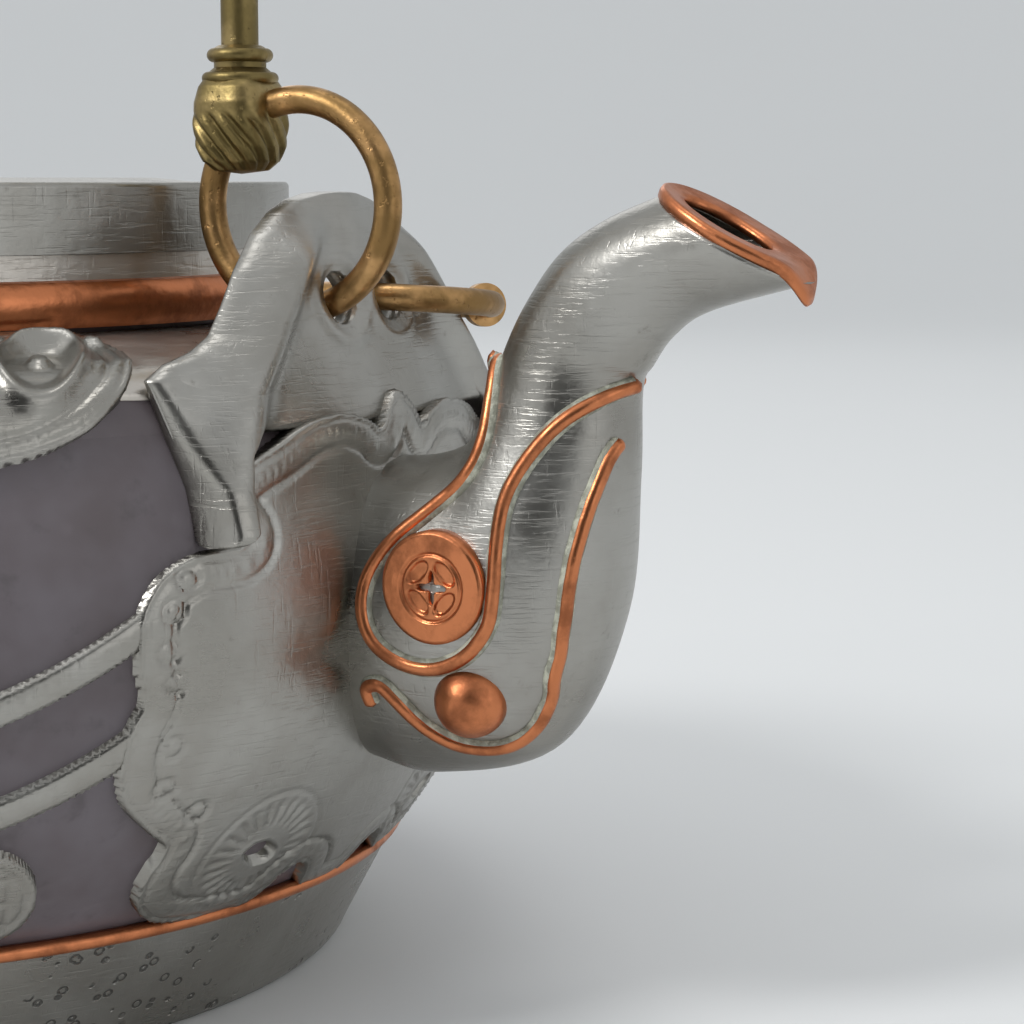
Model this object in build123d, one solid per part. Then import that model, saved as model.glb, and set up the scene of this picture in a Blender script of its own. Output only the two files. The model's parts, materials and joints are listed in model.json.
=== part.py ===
from build123d import *
from math import cos, hypot, radians, sin, sqrt
import os

# Clay teapot clad in pierced sheet metal, with a ring-hung bail handle.
# Sizes are in millimetres. Z is up, the spout points along +X, and the pot rests on z = 0.

# Pot body
BASE_RADIUS = 63.5
BAND_TOP_RADIUS = 71.0
BAND_TOP_Z = 14.3
DISC_THICKNESS = 2.2
BELLY_CENTRE_R = 29.25
BELLY_CENTRE_Z = 52.0
CLAY_ARC = 54.95
CLAY_WALL = 4.6
SHEET = 1.3
BELLY_TOP_Z = 72.0
SHOULDER_Z = 81.0
NECK_RADIUS = 54.6
NECK_BORE = 50.6
NECK_TOP_Z = 86.0
RIM_Z = 90.3
COLLAR_BOTTOM_Z = 82.0
COLLAR_TOP_Z = 87.4
COLLAR_RADIUS = 57.0

# Lid
LID_RADIUS = 57.4
LID_BOTTOM_Z = 90.4
LID_TOP_Z = 98.5
LID_WALL = 2.0
FLANGE_RADIUS = 49.9
FLANGE_DEPTH_Z = 82.5
KNOB_Z = 99.0

# Ornament on the body
MEDALLION_RADIUS = 6.8
MEDALLION_Z = 23.4
MEDALLION_TURN = 39.0
MASK_TURN = 42.0
STRAP_WIDTH = 3.0
FRONT_PANEL_EDGE = 26.0
SIDE_PANEL_EDGE = 76.0

# Rings, lugs and handle
HOLE_Y = 5.2
HOLE_Z = 85.1
HOLE_RADIUS = 2.9
RING_X = 73.4
RING_Z = 95.9
RING_RADIUS = 11.9
WIRE_RADIUS = 1.6
FREE_RING_TILT = 5.0
ROD_X = 65.6
ROD_RADIUS = 2.15
FIST_Z = 104.0
ROD_START_Z = 114.0
BAIL_SHOULDER_Z = 143.0
BAIL_TOP_Z = 172.0
BAIL_TOP_HALF = 40.0
BAIL_BEND = 45.0

# Spout
SPOUT_WALL = 2.0
COIN_X = 95.7
COIN_Y = 14.1
COIN_Z = 54.0
STUD_X = 98.6
STUD_Z = 41.6
INLAY = 0.8
LIP_THICKNESS = 1.5

os.makedirs("parts", exist_ok=True)


def at(u, v):
    """A point of a side profile: u away from the Z axis, v up."""
    return Vector(u, 0, v)


def outline(corners, place=at):
    """A closed flat face. A corner is (u, v), or (u, v, mid_u, mid_v) when an arc leads to it."""
    edges = []
    last = corners[-1]
    for corner in corners:
        start = place(last[0], last[1])
        end = place(corner[0], corner[1])
        if len(corner) == 4:
            edges.append(Edge.make_three_point_arc(start, place(corner[2], corner[3]), end))
        else:
            edges.append(Edge.make_line(start, end))
        last = corner
    return Face(Wire(edges))


def turned(corners):
    """A solid of revolution about Z from a side profile."""
    return Solid.revolve(outline(corners), 360, Axis.Z)


def belly_radius(z, arc):
    return BELLY_CENTRE_R + sqrt(arc ** 2 - (z - BELLY_CENTRE_Z) ** 2)


def belly_side(arc, low_z, high_z):
    """Corner that follows the belly arc from low_z up to high_z."""
    mid_z = (low_z + high_z) / 2
    return (belly_radius(high_z, arc), high_z, belly_radius(mid_z, arc), mid_z)


def shoulder_side(arc):
    """Corners over the rounded shoulder to the neck, at the sheet's offset from the clay."""
    lift = arc - CLAY_ARC
    start = belly_radius(BELLY_TOP_Z, arc)
    return [(75.0 + lift * 0.4, 78.3 + lift, start - 1.6, 75.9 + lift * 0.6), (NECK_RADIUS, SHOULDER_Z + lift)]


def clad_solid(arc, low_z=BAND_TOP_Z):
    """Everything inside the surface that lies at the given belly arc."""
    bottom = belly_radius(low_z, arc)
    corners = [(0, low_z), (bottom, low_z), belly_side(arc, low_z, BELLY_TOP_Z)]
    return turned(corners + shoulder_side(arc) + [(0, SHOULDER_Z + arc - CLAY_ARC)])


def mirrored(points):
    """A half outline followed by its mirror image across the first coordinate."""
    flipped = []
    for point in reversed(points):
        if point[0] == 0:
            continue
        flipped.append((-point[0], point[1]))
    return points + flipped


def stencil(points, turn=0.0, start=40.0):
    """A prism over an outline drawn in (sideways, up), standing out from the axis at an angle."""
    face = outline(points, lambda u, v: Vector(start, u, v))
    return extrude(face, amount=60, dir=(1, 0, 0)).rotate(Axis.Z, turn)


def disc_along_x(radius, y, z, x_from, x_to):
    return Solid.make_cylinder(radius, x_to - x_from, Plane(origin=(x_from, y, z), z_dir=(1, 0, 0)))


def save(shape, name):
    export_step(shape, "parts/" + name + ".step")


# Clay body

def make_clay_body():
    """Thrown pot: belly, flat shoulder and upright neck, with a pierced strainer behind the spout."""
    band_inner = belly_radius(BAND_TOP_Z, CLAY_ARC)
    inner_arc = CLAY_ARC - CLAY_WALL
    floor_z = DISC_THICKNESS + CLAY_WALL
    outer = [(0, DISC_THICKNESS), (62.9, DISC_THICKNESS), (band_inner, BAND_TOP_Z)]
    outer += [belly_side(CLAY_ARC, BAND_TOP_Z, BELLY_TOP_Z)] + shoulder_side(CLAY_ARC)
    outer += [(NECK_RADIUS, NECK_TOP_Z), (0, NECK_TOP_Z)]
    inner = [(0, floor_z), (57.5, floor_z), (belly_radius(BAND_TOP_Z + 2, inner_arc), BAND_TOP_Z + 2)]
    inner += [belly_side(inner_arc, BAND_TOP_Z + 2, BELLY_TOP_Z - 1.0)]
    inner += [(70.5, 74.6, 74.2, 73.6), (NECK_BORE, 76.6), (NECK_BORE, NECK_TOP_Z + 1), (0, NECK_TOP_Z + 1)]
    body = turned(outer) - turned(inner)
    for hole in strainer_holes(70, 90):
        body -= hole
    return body


def strainer_holes(x_from, x_to):
    """One central pour hole with a ring of six around it."""
    centre_z = 50.0
    holes = [disc_along_x(1.6, 0, centre_z, x_from, x_to)]
    for step in range(6):
        angle = radians(60 * step)
        holes.append(disc_along_x(1.6, 5.4 * cos(angle), centre_z + 5.4 * sin(angle), x_from, x_to))
    return holes


# Sheet metal on the body

def make_base_band():
    """Flared band round the foot with a rolled lower edge."""
    inner_top = belly_radius(BAND_TOP_Z, CLAY_ARC)
    profile = [(62.9, 0), (BASE_RADIUS - 0.8, 0), (BASE_RADIUS + 0.9, 1.8, BASE_RADIUS + 0.1, 0.5)]
    profile += [(BAND_TOP_RADIUS, BAND_TOP_Z), (inner_top, BAND_TOP_Z), (62.9, DISC_THICKNESS)]
    return turned(profile)


def make_base_disc():
    return Solid.make_cylinder(62.9, DISC_THICKNESS)


def make_base_wire():
    """Half-round wire lying on the upper edge of the base band."""
    inner = belly_radius(BAND_TOP_Z, CLAY_ARC)
    rise = 1.7
    inner_top = belly_radius(BAND_TOP_Z + rise, CLAY_ARC)
    top = (inner_top + 0.4, BAND_TOP_Z + rise, BAND_TOP_RADIUS + 1.0, BAND_TOP_Z + 1.2)
    corners = [(inner, BAND_TOP_Z), (BAND_TOP_RADIUS, BAND_TOP_Z), top, (inner_top, BAND_TOP_Z + rise)]
    return turned(corners) - clad_solid(CLAY_ARC)


def make_neck_sleeve():
    """Bright rim liner that caps the clay neck and runs down inside it."""
    outer = [(NECK_RADIUS, NECK_TOP_Z), (NECK_RADIUS, COLLAR_TOP_Z - 0.8), (55.8, COLLAR_TOP_Z)]
    inner = [(55.8, RIM_Z), (NECK_BORE - 0.6, RIM_Z), (NECK_BORE - 0.6, 78.0), (NECK_BORE, 78.0)]
    return turned(outer + inner + [(NECK_BORE, NECK_TOP_Z)])


def make_collar():
    """Rounded strap round the neck."""
    low = COLLAR_BOTTOM_Z
    high = COLLAR_TOP_Z
    side = (COLLAR_RADIUS - 0.7, high - 0.2, COLLAR_RADIUS + 0.4, (low + high) / 2)
    profile = [(NECK_RADIUS, low), (COLLAR_RADIUS - 0.7, low), side, (55.8, high), (NECK_RADIUS, high - 0.8)]
    return turned(profile)


FRONT_HALF = [
    (0, 74.6), (2.2, 73.6), (4.2, 70.2), (6.5, 72.2), (10.6, 73.6), (16.0, 73.0), (21.0, 70.4), (24.2, 68.6),
    (27.6, 66.8), (28.4, 63.8), (26.2, 60.8), (27.6, 59.3), (32.5, 59.6), (36.8, 57.4), (39.2, 53.8),
    (39.4, 48.6), (38.6, 44.6), (39.6, 41.6), (39.8, 37.4), (38.4, 33.2), (34.6, 29.4), (31.6, 27.4),
    (32.0, 23.4), (30.6, 19.6), (26.6, 17.2), (14.6, 16.0), (9.6, 20.6), (6.4, 19.6), (4.2, 16.0)]

SIDE_HALF = [
    (0, 70.6), (3.4, 68.6), (5.2, 65.4), (9.4, 66.6), (13.4, 64.2), (14.6, 60.0), (18.8, 59.4), (22.0, 56.0),
    (22.4, 50.6), (20.6, 46.6), (22.0, 42.6), (21.0, 37.8), (17.4, 34.6), (14.0, 33.8), (13.2, 29.6),
    (9.6, 26.8), (7.6, 23.0), (8.6, 19.4), (6.4, 16.0)]

MASK_HALF = [
    (0, 66.6), (7.2, 68.4), (15.0, 71.0), (21.4, 75.6), (22.6, 79.0), (20.6, 81.0), (18.0, 82.4), (0, 82.4)]
NOSE_HALF = [(0, 70.2), (2.4, 72.0), (3.4, 78.0), (1.6, 81.6), (0, 82.2)]


def almond(y, z, half_long, half_high):
    """Pointed oval hole, as a short prism from the axis outwards."""
    return stencil([(y + half_long, z, y, z - half_high), (y - half_long, z, y, z + half_high)])


def make_lobed_panel(half, holes, turn, shell):
    """A lobed sheet panel bent over the belly, with pierced holes."""
    prism = stencil(mirrored(half))
    for y, z in holes:
        prism -= almond(y, z, 2.6, 1.6)
        prism -= almond(-y, z, 2.6, 1.6)
    return shell & prism.rotate(Axis.Z, turn)


def make_medallion(turn, clay_outer):
    """Round medallion low on the belly, just above the base wire."""
    thick = clad_solid(CLAY_ARC + SHEET + 0.5) - clay_outer
    return thick & disc_along_x(MEDALLION_RADIUS, 0, MEDALLION_Z, 40, 100).rotate(Axis.Z, turn)


def make_mask(turn, clay_outer):
    """Shoulder ornament with a raised nose, between the neck strap and the belly."""
    thick = clad_solid(CLAY_ARC + SHEET + 0.3) - clay_outer
    brow = clad_solid(CLAY_ARC + 3.4) - clay_outer
    mask = thick & stencil(mirrored(MASK_HALF), turn, COLLAR_RADIUS + 0.3)
    relief = brow & stencil(mirrored(NOSE_HALF), turn, COLLAR_RADIUS + 0.3)
    return mask + relief


def make_swag(start_turn, end_turn, shell):
    """Two curved straps that cross the bare clay between two panels."""
    middle = (start_turn + end_turn) / 2
    half = belly_radius(BELLY_CENTRE_Z, CLAY_ARC) * sin(radians(abs(end_turn - start_turn) / 2))
    straps = []
    for edge_z, dip_z in ((54.6, 43.2), (43.0, 32.0)):
        low_edge = edge_z - STRAP_WIDTH
        low_dip = dip_z - STRAP_WIDTH
        band = [(-half, low_edge), (half, low_edge, 0, low_dip), (half, edge_z), (-half, edge_z, 0, dip_z)]
        straps.append(shell & stencil(band, middle))
    return straps


# Lugs

LUG_HALF = [
    (0, 97.5), (7.0, 96.8), (11.0, 95.7), (15.2, 93.2), (20.0, 88.8), (22.8, 85.0), (25.0, 82.0), (32.0, 79.0),
    (34.0, 77.4), (33.0, 74.6), (32.4, 70.6), (31.8, 66.2), (32.2, 60.6), (29.4, 60.6), (28.9, 68.4),
    (25.6, 71.6), (18.0, 74.0), (0, 75.4)]


def make_lug(clay_outer, side):
    """Leaning horn plate with two ring holes and two feet that run down the belly."""
    low_z = 58.0
    foot_arc = CLAY_ARC + 2.6
    front = [(belly_radius(low_z, foot_arc), low_z), belly_side(foot_arc, low_z, BELLY_TOP_Z)]
    front += [(82.2, 77.0), (80.3, 83.0), (78.8, 89.0), (77.3, 94.0), (76.0, 98.0)]
    back = [(73.2, 98.0), (74.6, 94.0), (76.0, 88.0), (77.2, 82.0), (78.4, 76.0), (77.0, BELLY_TOP_Z), (77.0, low_z)]
    plate = turned(front + back) & stencil(mirrored(LUG_HALF))
    plate -= clay_outer
    for y in (-HOLE_Y, HOLE_Y):
        plate -= disc_along_x(HOLE_RADIUS, y, HOLE_Z + 0.3, 60, 90)
    return plate.rotate(Axis.Z, 0 if side > 0 else 180)


# Rings and handle

def ring_solid(wire_radius):
    """A ring standing in the XZ plane, centred on the origin."""
    return Solid.make_torus(RING_RADIUS, wire_radius, Plane(origin=(0, 0, 0), z_dir=(0, 1, 0)))


def make_handle_ring(side):
    return ring_solid(WIRE_RADIUS).moved(Location((side * RING_X, -HOLE_Y, RING_Z)))


def free_ring_place():
    """Centre of the swung ring, on the arc about its lug hole."""
    reach = RING_Z - HOLE_Z
    tilt = radians(FREE_RING_TILT)
    return Vector(RING_X, HOLE_Y + reach * cos(tilt), HOLE_Z - reach * sin(tilt))


def make_free_ring():
    """The spare ring, dropped over to lie flat past the edge of the lug."""
    flat = ring_solid(WIRE_RADIUS).rotate(Axis.X, -90 - FREE_RING_TILT)
    return flat.moved(Location(free_ring_place()))


def make_free_link():
    """Small washer threaded on the spare ring."""
    turn = radians(52)
    tilt = radians(FREE_RING_TILT)
    centre = free_ring_place()
    across = RING_RADIUS * sin(turn)
    place = Vector(centre.X + RING_RADIUS * cos(turn), centre.Y + across * cos(tilt), centre.Z - across * sin(tilt))
    way = Vector(-sin(turn), cos(turn) * cos(tilt), -cos(turn) * sin(tilt))
    start = place - way * 0.7
    plane = Plane(origin=start, z_dir=way)
    return Solid.make_cylinder(2.7, 1.4, plane) - Solid.make_torus(RING_RADIUS, WIRE_RADIUS, Plane(
        origin=centre, z_dir=(0, sin(tilt), cos(tilt))))


def make_handle_rod():
    """Bail of round rod: two upright legs and a broad round-shouldered arch."""
    corners = [
        (-ROD_X, -HOLE_Y, ROD_START_Z), (-ROD_X, -HOLE_Y, BAIL_SHOULDER_Z), (-BAIL_TOP_HALF, -HOLE_Y, BAIL_TOP_Z),
        (BAIL_TOP_HALF, -HOLE_Y, BAIL_TOP_Z), (ROD_X, -HOLE_Y, BAIL_SHOULDER_Z), (ROD_X, -HOLE_Y, ROD_START_Z)]
    path = FilletPolyline(*corners, radius=BAIL_BEND)
    section = Plane(origin=corners[0], z_dir=(0, 0, 1)) * Circle(ROD_RADIUS)
    return sweep(section, path=path)


def make_fist(side):
    """Clenched hand at the rod's end, with three finger grooves and a channel for the ring."""
    block = [(-4.9, -3.6), (-3.2, -6.8), (3.8, -6.2), (5.2, -2.6), (4.4, 3.2), (2.4, 5.6), (-2.6, 5.6), (-4.6, 2.6)]
    face = outline(block, lambda u, v: Vector(u, -4.4, v))
    hand = extrude(face, amount=8.8, dir=(0, 1, 0))
    hand = chamfer(hand.edges().filter_by(Axis.Y, reverse=True), 1.0)
    for step in range(3):
        groove = Solid.make_cylinder(0.55, 12, Plane(origin=(-6, -2.2 + 2.2 * step, -6.9), z_dir=(1, 0, 0)))
        hand -= groove
    channel = ring_solid(WIRE_RADIUS + 0.15).moved(Location((RING_X - ROD_X, 0, RING_Z - FIST_Z)))
    hand -= channel
    if side < 0:
        hand = hand.rotate(Axis.Z, 180)
    return hand.moved(Location((side * ROD_X, -HOLE_Y, FIST_Z)))


def make_cuff(side):
    """Turned cuff between the hand and the rod, with two beads."""
    low = FIST_Z + 5.6
    profile = [(0, low), (3.6, low), (3.6, low + 1.4, 4.4, low + 0.7), (3.0, low + 1.9), (3.0, low + 2.5)]
    profile += [(3.0, low + 4.1, 3.8, low + 3.3), (2.5, ROD_START_Z), (0, ROD_START_Z)]
    return turned(profile).moved(Location((side * ROD_X, -HOLE_Y, 0)))


# Spout, as pairs of back and front points in the XZ plane with a half width across

SPOUT_SECTIONS = [
    (78.0, 67.0, 78.0, 32.0, 12.4), (88.6, 67.6, 90.0, 30.8, 12.9), (93.2, 69.6, 104.2, 35.6, 12.7),
    (95.0, 71.6, 111.6, 50.5, 11.4), (96.2, 74.6, 113.2, 65.4, 9.3), (98.0, 80.6, 113.6, 75.6, 8.0),
    (101.0, 86.0, 114.8, 78.6, 7.6), (105.2, 91.2, 117.4, 82.0, 7.4), (110.2, 94.7, 121.8, 84.7, 7.2),
    (117.0, 97.0, 134.2, 87.8, 7.2)]


def half_oval(section, grow):
    """Points of a section's left half from front to back, and the direction across."""
    back_x, back_z, front_x, front_z, half_width = section
    middle = Vector((back_x + front_x) / 2, 0, (back_z + front_z) / 2)
    along = Vector(front_x - back_x, 0, front_z - back_z)
    reach = along.normalized() * (along.length / 2 + grow)
    across = Vector(0, half_width + grow, 0)
    angles = [radians(30 * step) for step in range(7)]
    points = [middle + reach * cos(angle) + across * sin(angle) for angle in angles]
    points[0] = middle + reach
    points[-1] = middle - reach
    return points, across


def solid_section(section, grow):
    points, across = half_oval(section, grow)
    side = Edge.make_spline(points, tangents=[across, across * -1])
    return Wire([side, Edge.make_line(points[-1], points[0])])


def wall_section(section):
    """The left half of a section's wall, from the outside to the bore."""
    outside, across = half_oval(section, 0)
    bore, inner_across = half_oval(section, -SPOUT_WALL)
    bore.reverse()
    outer_side = Edge.make_spline(outside, tangents=[across, across * -1])
    inner_side = Edge.make_spline(bore, tangents=[inner_across, inner_across * -1])
    back = Edge.make_line(outside[-1], bore[0])
    front = Edge.make_line(bore[-1], outside[0])
    return Wire([outer_side, back, inner_side, front])


def spout_half(grow):
    """Left half of the spout's solid form."""
    return Solid.make_loft([solid_section(section, grow) for section in SPOUT_SECTIONS], ruled=True)


def make_spout_shell(pot_outer):
    """Hollow spout, open to the strainer at the root and to the lip at the tip."""
    wall = Solid.make_loft([wall_section(section) for section in SPOUT_SECTIONS], ruled=True) - pot_outer
    return wall + wall.mirror(Plane.XZ)


def lip_plane():
    back_x, back_z, front_x, front_z, half_width = SPOUT_SECTIONS[-1]
    along = Vector(front_x - back_x, 0, front_z - back_z)
    middle = Vector((back_x + front_x) / 2, 0, (back_z + front_z) / 2)
    return Plane(origin=middle, x_dir=along, z_dir=Vector(0, 1, 0).cross(along) * -1)


def make_lip():
    """Lip plate over the spout's end, with a long pour hole and a short beak."""
    plate = Ellipse(10.2, 7.4) - Pos(-1.5, 0) * Ellipse(6.0, 4.0)
    return extrude(lip_plane() * plate, amount=LIP_THICKNESS)


WIRE_NECK = [
    (96.6, 77.0), (98.3, 72.0), (97.6, 67.6), (95.0, 63.6), (90.4, 59.4), (87.6, 55.4), (87.2, 51.0), (89.6, 47.6),
    (94.0, 46.2), (98.6, 47.6), (101.6, 50.8), (102.6, 56.0), (103.0, 62.0), (104.6, 67.6), (108.4, 73.2),
    (113.6, 76.2)]
WIRE_THROAT = [
    (112.6, 69.4), (111.8, 63.4), (110.2, 56.4), (108.8, 48.0), (106.4, 41.4), (103.6, 37.8), (98.6, 36.2),
    (94.0, 37.0), (90.4, 39.8), (88.2, 41.4)]


def make_inlay(points, half):
    """Inlaid wire on the left of the spout: a narrow ribbon that stands a little proud."""
    path = Spline(*[(x, z) for x, z in points])
    near = Plane(origin=(0, 2, 0), x_dir=(1, 0, 0), z_dir=(0, -1, 0))
    prism = extrude(near * trace(path, line_width=1.5), amount=-30)
    return (spout_half(INLAY) & prism) - half


def make_coin(half):
    """Pierced coin set as the left eye: a round disc with a four pointed star."""
    coin = Solid.make_cylinder(5.3, 5.0, Plane(origin=(COIN_X, COIN_Y, COIN_Z), z_dir=(0, -1, 0)))
    star = [(0, 1.9), (0.5, 0.5), (1.9, 0), (0.5, -0.5), (0, -1.9), (-0.5, -0.5), (-1.9, 0), (-0.5, 0.5)]
    hole = outline(star, lambda u, v: Vector(COIN_X + u, COIN_Y + 1, COIN_Z + v))
    return coin - extrude(hole, amount=8, dir=(0, -1, 0)) - half


def make_stud(half):
    """Domed stud low on the left cheek."""
    return Solid.make_sphere(4.2).moved(Location((STUD_X, 10.0, STUD_Z))) - half


# Lid

def make_lid_shell():
    """Flat drum lid with a slightly raised centre, bored for the knob rivet."""
    crown = LID_TOP_Z + 0.5
    outer = [(0, LID_BOTTOM_Z), (LID_RADIUS, LID_BOTTOM_Z), (LID_RADIUS, LID_TOP_Z - 0.7)]
    outer += [(LID_RADIUS - 0.7, LID_TOP_Z, LID_RADIUS - 0.2, LID_TOP_Z - 0.2), (45.0, LID_TOP_Z), (40.0, crown)]
    ceiling = LID_TOP_Z - LID_WALL
    inner = [(0, LID_BOTTOM_Z - 1), (LID_RADIUS - LID_WALL, LID_BOTTOM_Z - 1), (LID_RADIUS - LID_WALL, ceiling), (0, ceiling)]
    shell = turned(outer + [(0, crown)]) - turned(inner)
    return shell - Solid.make_cylinder(1.6, 20, Plane(origin=(0, 0, 90)))


def make_lid_flange():
    """Ring under the lid that drops into the neck and keeps the lid centred."""
    ceiling = LID_TOP_Z - LID_WALL
    profile = [(FLANGE_RADIUS - 2.0, FLANGE_DEPTH_Z), (FLANGE_RADIUS, FLANGE_DEPTH_Z + 1.0)]
    return turned(profile + [(FLANGE_RADIUS, ceiling), (FLANGE_RADIUS - 2.0, ceiling)])


def make_knob_washer():
    washer = [(1.6, KNOB_Z), (9.0, KNOB_Z), (8.2, KNOB_Z + 1.0, 8.8, KNOB_Z + 0.7), (1.6, KNOB_Z + 1.0)]
    return turned(washer)


def make_knob():
    """Turned knob: narrow neck and round bun."""
    low = KNOB_Z + 1.0
    profile = [(1.6, low), (4.6, low), (3.0, low + 3.0, 3.3, low + 1.2), (7.2, low + 7.2, 6.4, low + 4.4)]
    profile += [(1.6, low + 12.0, 5.2, low + 11.0)]
    return turned(profile)


def make_rivet():
    """Rivet through knob, washer and lid, with a head under the lid."""
    low = LID_TOP_Z - LID_WALL
    top = KNOB_Z + 13.0
    return turned([(0, low - 1.4), (3.4, low - 1.4), (3.4, low), (1.6, low), (1.6, top), (0.9, top + 0.5), (0, top + 0.6)])


def build_all():
    clay_outer = clad_solid(CLAY_ARC)
    pot_outer = clad_solid(CLAY_ARC + SHEET)
    shell = pot_outer - clay_outer
    half = spout_half(0)

    save(make_clay_body(), "clay_body")
    save(make_base_band(), "base_band")
    save(make_base_disc(), "base_disc")
    save(make_base_wire(), "base_wire")
    save(make_neck_sleeve(), "neck_sleeve")
    save(make_collar(), "neck_collar")

    lug_clear = stencil(mirrored(LUG_HALF))
    front = make_lobed_panel(FRONT_HALF, [(17.0, 23.6)], 0, shell) - lug_clear
    rear = front.rotate(Axis.Z, 180)
    for hole in strainer_holes(60, 100):
        front -= hole
    left_side = make_lobed_panel(SIDE_HALF, [], 90, shell)
    right_side = left_side.rotate(Axis.Z, 180)
    save(front, "front_panel")
    save(rear, "rear_panel")
    save(left_side, "left_side_panel")
    save(right_side, "right_side_panel")

    swag = make_swag(FRONT_PANEL_EDGE, SIDE_PANEL_EDGE, shell)
    swag = Compound([strap - front - left_side for strap in swag])
    mask = make_mask(MASK_TURN, clay_outer)
    medallion = make_medallion(MEDALLION_TURN, clay_outer)
    for piece, name in ((swag, "swag"), (mask, "mask"), (medallion, "medallion")):
        across = piece.mirror(Plane.XZ)
        save(piece, "front_left_" + name)
        save(across, "front_right_" + name)
        save(piece.mirror(Plane.YZ), "rear_left_" + name)
        save(across.mirror(Plane.YZ), "rear_right_" + name)

    save(make_lug(clay_outer, 1), "front_lug")
    save(make_lug(clay_outer, -1), "rear_lug")
    save(make_spout_shell(pot_outer), "spout_shell")
    save(make_lip(), "spout_lip")
    trims = [(make_inlay(WIRE_NECK, half), "loop_wire"), (make_inlay(WIRE_THROAT, half), "throat_wire")]
    trims += [(make_coin(half), "eye_coin"), (make_stud(half), "cheek_stud")]
    for piece, name in trims:
        save(piece, "left_" + name)
        save(piece.mirror(Plane.XZ), "right_" + name)

    for name, side in (("front", 1), ("rear", -1)):
        save(make_handle_ring(side), name + "_handle_ring")
        save(make_fist(side), name + "_fist")
        save(make_cuff(side), name + "_cuff")
    save(make_free_ring(), "free_ring")
    save(make_free_link(), "free_ring_washer")
    save(make_handle_rod(), "handle_rod")

    save(make_lid_shell(), "lid_shell")
    save(make_lid_flange(), "lid_flange")
    save(make_knob_washer(), "knob_washer")
    save(make_knob(), "lid_knob")
    save(make_rivet(), "knob_rivet")


build_all()
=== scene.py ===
import json
from functools import partial
from math import atan2, pi, radians

import bmesh
import bpy
import numpy as np
from bpy.props import FloatProperty, FloatVectorProperty, PointerProperty
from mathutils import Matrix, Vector


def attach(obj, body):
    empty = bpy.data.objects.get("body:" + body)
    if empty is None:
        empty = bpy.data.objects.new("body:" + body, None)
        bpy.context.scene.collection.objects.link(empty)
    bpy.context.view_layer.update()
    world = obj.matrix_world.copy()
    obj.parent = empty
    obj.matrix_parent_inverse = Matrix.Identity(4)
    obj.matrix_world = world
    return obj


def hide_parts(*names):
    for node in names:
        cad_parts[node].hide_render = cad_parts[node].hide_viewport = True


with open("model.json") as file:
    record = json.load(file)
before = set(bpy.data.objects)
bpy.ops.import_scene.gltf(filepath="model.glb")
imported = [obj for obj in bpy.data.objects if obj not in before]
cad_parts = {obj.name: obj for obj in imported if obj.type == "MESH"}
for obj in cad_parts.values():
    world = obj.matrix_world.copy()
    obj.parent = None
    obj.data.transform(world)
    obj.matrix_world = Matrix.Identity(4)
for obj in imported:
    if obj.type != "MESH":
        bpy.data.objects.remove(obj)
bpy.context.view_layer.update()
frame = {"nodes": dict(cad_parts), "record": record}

bl_info = {
    "name": "Clad clay teapot",
    "version": (1, 0, 0),
    "blender": (4, 5, 0),
    "location": "3D View > Sidebar > Teapot",
    "description": "Dresses a clay teapot in pierced pewter sheet, copper wire and brass",
    "category": "Object",
}

# Shapes below are worked out in millimetres and put into the mesh in metres.
MM = 0.001

# Clay surface: a belly arc, a rounded shoulder and a nearly flat top in to the neck.
BELLY_R, BELLY_Z, BELLY_ARC = 29.25, 52.0, 54.95
SHOULDER_START, SHOULDER_MID, SHOULDER_END = (80.43, 72.0), (78.83, 75.9), (75.0, 78.3)
NECK_FOOT = (54.6, 81.0)
CLAY_LOWEST = 10.0
BELLY_STEPS, SHOULDER_STEPS = 240, 60
# Sheets are grids of this step; where there is no metal they lie this far under the clay.
SHEET_STEP = 0.36
BURIED = -0.9

# Half outlines of the sheets as (sideways, height on the clay).
FRONT_SHEET = [
    (0, 74.2), (2.4, 72.8), (4.3, 69.4), (6.6, 71.2), (10.6, 72.4), (16.0, 71.8), (21.0, 69.6), (24.4, 68.4),
    (27.4, 66.8), (28.6, 63.6), (26.2, 60.6), (27.8, 59.6), (32.5, 59.6), (36.8, 57.6), (39.3, 53.8),
    (39.6, 48.6), (38.4, 44.4), (39.7, 41.6), (40.0, 37.4), (38.4, 32.8), (34.4, 29.2), (31.4, 27.2),
    (32.4, 23.4), (31.0, 19.4), (26.6, 16.4), (14.0, 15.4), (9.6, 20.4), (6.4, 19.6), (4.2, 15.2)]
SIDE_SHEET = [
    (0, 70.6), (3.4, 68.6), (5.2, 65.2), (9.4, 66.8), (13.6, 64.4), (14.4, 59.8), (18.8, 59.6), (22.0, 56.0),
    (22.4, 50.6), (20.4, 46.6), (22.0, 42.6), (21.0, 37.6), (17.4, 34.4), (14.0, 33.8), (13.2, 29.6),
    (9.6, 26.8), (7.4, 23.0), (8.6, 19.4), (6.4, 15.4)]
# Pierced ovals, engraved roses and punch marks on the sheets, by side and height.
OVAL_PLACE = (17.6, 23.8)
ROSE_PLACE = (0.0, 49.0)
FRONT_PUNCHES = [
    (33.8, 56.9), (35.5, 53.6), (36.0, 49.5), (35.0, 46.0), (34.5, 39.0), (34.2, 34.4), (29.4, 31.0)]
SIDE_PUNCHES = [(17.4, 55.4), (18.4, 50.6), (18.0, 40.6), (9.6, 62.4), (4.2, 22.0)]
# Half outline of a shoulder mask as (sideways, run along the profile from the belly's widest line).
MASK_SHEET = [
    (0, 15.8), (5.0, 17.4), (11.5, 18.6), (17.0, 21.0), (21.2, 24.6), (23.2, 29.0), (23.0, 34.0),
    (21.6, 39.0), (20.0, 44.0), (19.0, 47.0), (0, 47.0)]
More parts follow.
